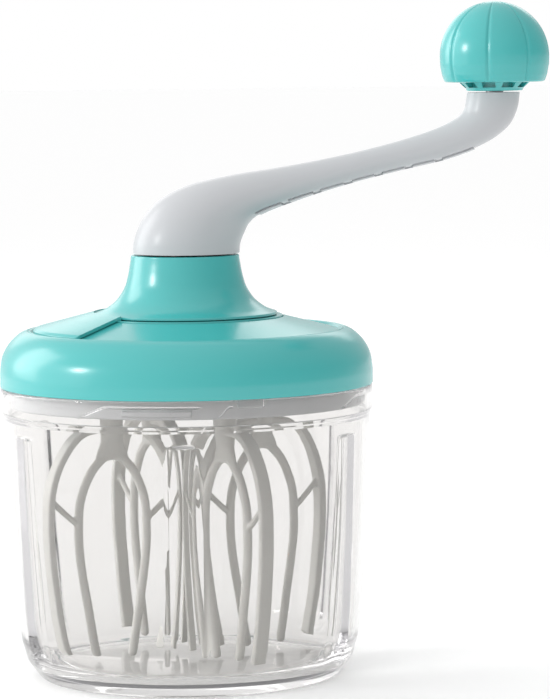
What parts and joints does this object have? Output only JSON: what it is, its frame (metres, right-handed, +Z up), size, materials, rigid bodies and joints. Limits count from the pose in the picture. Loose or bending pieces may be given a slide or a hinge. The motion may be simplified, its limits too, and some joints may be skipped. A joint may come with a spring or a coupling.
{
  "type": "egg beater",
  "caption": "Hand-crank egg beater: clear beaker with a geared twist-on lid, flat forked whisks driven together, and a cranked arm with a domed spinning knob.",
  "frame": {"origin": "centre of the beaker's flat foot, on the surface it stands on, on the axis of the lid and crank shaft", "axes": "+Z up along the crank shaft, +X along the crank arm towards the knob, +Y away from the front where the bayonet marks are"},
  "size_m": [0.1881, 0.1268, 0.2284],
  "materials": {
    "clear_plastic": "clear, polished",
    "teal_plastic": "semi-gloss",
    "grey_plastic": "semi-gloss",
    "whisk_nylon": "satin",
    "white_acetal": "satin",
    "steel": "machined"
  },
  "bodies": {
    "beaker": {"cup": "clear_plastic"},
    "lid": {"lid_dome": "teal_plastic", "neck_tower": "teal_plastic", "gearbox_base": "grey_plastic", "upper_bush": "white_acetal", "lower_bush": "white_acetal", "thrust_washer": "steel", "spindle_bush_1": "white_acetal", "spindle_bush_2": "white_acetal", "spindle_bush_3": "white_acetal", "spindle_bush_4": "white_acetal", "lid_screw_1": "steel", "lid_screw_2": "steel", "lid_screw_3": "steel", "lid_screw_4": "steel", "neck_screw_1": "steel", "neck_screw_2": "steel", "neck_screw_3": "steel"},
    "shutter": {"port_shutter": "teal_plastic"},
    "crank": {"drive_shaft": "steel", "drive_wheel": "white_acetal", "crank_arm": "grey_plastic", "arm_cover": "grey_plastic", "crank_screw": "steel", "crank_washer": "steel", "knob_pin": "steel"},
    "knob": {"knob_shell": "teal_plastic", "knob_collar": "teal_plastic"},
    "whisk_drive_1": {"whisk_1": "whisk_nylon", "pinion_1": "white_acetal", "spindle_1": "steel", "spindle_washer_1": "steel"},
    "whisk_drive_2": {"whisk_2": "whisk_nylon", "pinion_2": "white_acetal", "spindle_2": "steel", "spindle_washer_2": "steel"},
    "whisk_drive_3": {"whisk_3": "whisk_nylon", "pinion_3": "white_acetal", "spindle_3": "steel", "spindle_washer_3": "steel"},
    "whisk_drive_4": {"whisk_4": "whisk_nylon", "pinion_4": "white_acetal", "spindle_4": "steel", "spindle_washer_4": "steel"}
  },
  "joints": [
    {"name": "lid_twist", "type": "hinge", "parent": "beaker", "child": "lid", "pos_m": [0, 0, 0.099], "axis": [0, 0, 1], "range_deg": [0, 35]},
    {"name": "shutter_slide", "type": "hinge", "parent": "lid", "child": "shutter", "pos_m": [0, 0, 0.122], "axis": [0, 0, 1], "range_deg": [0, 80]},
    {"name": "crank_spin", "type": "hinge", "parent": "lid", "child": "crank", "pos_m": [0, 0, 0.14], "axis": [0, 0, 1], "continuous": true},
    {"name": "knob_spin", "type": "hinge", "parent": "crank", "child": "knob", "pos_m": [0.1057, 0, 0.2], "axis": [0, 0, 1], "continuous": true},
    {"name": "whisk_spin_1", "type": "hinge", "parent": "lid", "child": "whisk_drive_1", "pos_m": [-0.02528, -0.01316, 0.09], "axis": [0, 0, 1], "continuous": true},
    {"name": "whisk_spin_2", "type": "hinge", "parent": "lid", "child": "whisk_drive_2", "pos_m": [0.01316, -0.02528, 0.09], "axis": [0, 0, 1], "continuous": true},
    {"name": "whisk_spin_3", "type": "hinge", "parent": "lid", "child": "whisk_drive_3", "pos_m": [0.02528, 0.01316, 0.09], "axis": [0, 0, 1], "continuous": true},
    {"name": "whisk_spin_4", "type": "hinge", "parent": "lid", "child": "whisk_drive_4", "pos_m": [-0.01316, 0.02528, 0.09], "axis": [0, 0, 1], "continuous": true}
  ],
  "couplings": [
    {"joint": "whisk_spin_1", "follows": "crank_spin", "ratio": 4.8},
    {"joint": "whisk_spin_2", "follows": "crank_spin", "ratio": 4.8},
    {"joint": "whisk_spin_3", "follows": "crank_spin", "ratio": 4.8},
    {"joint": "whisk_spin_4", "follows": "crank_spin", "ratio": 4.8}
  ]
}
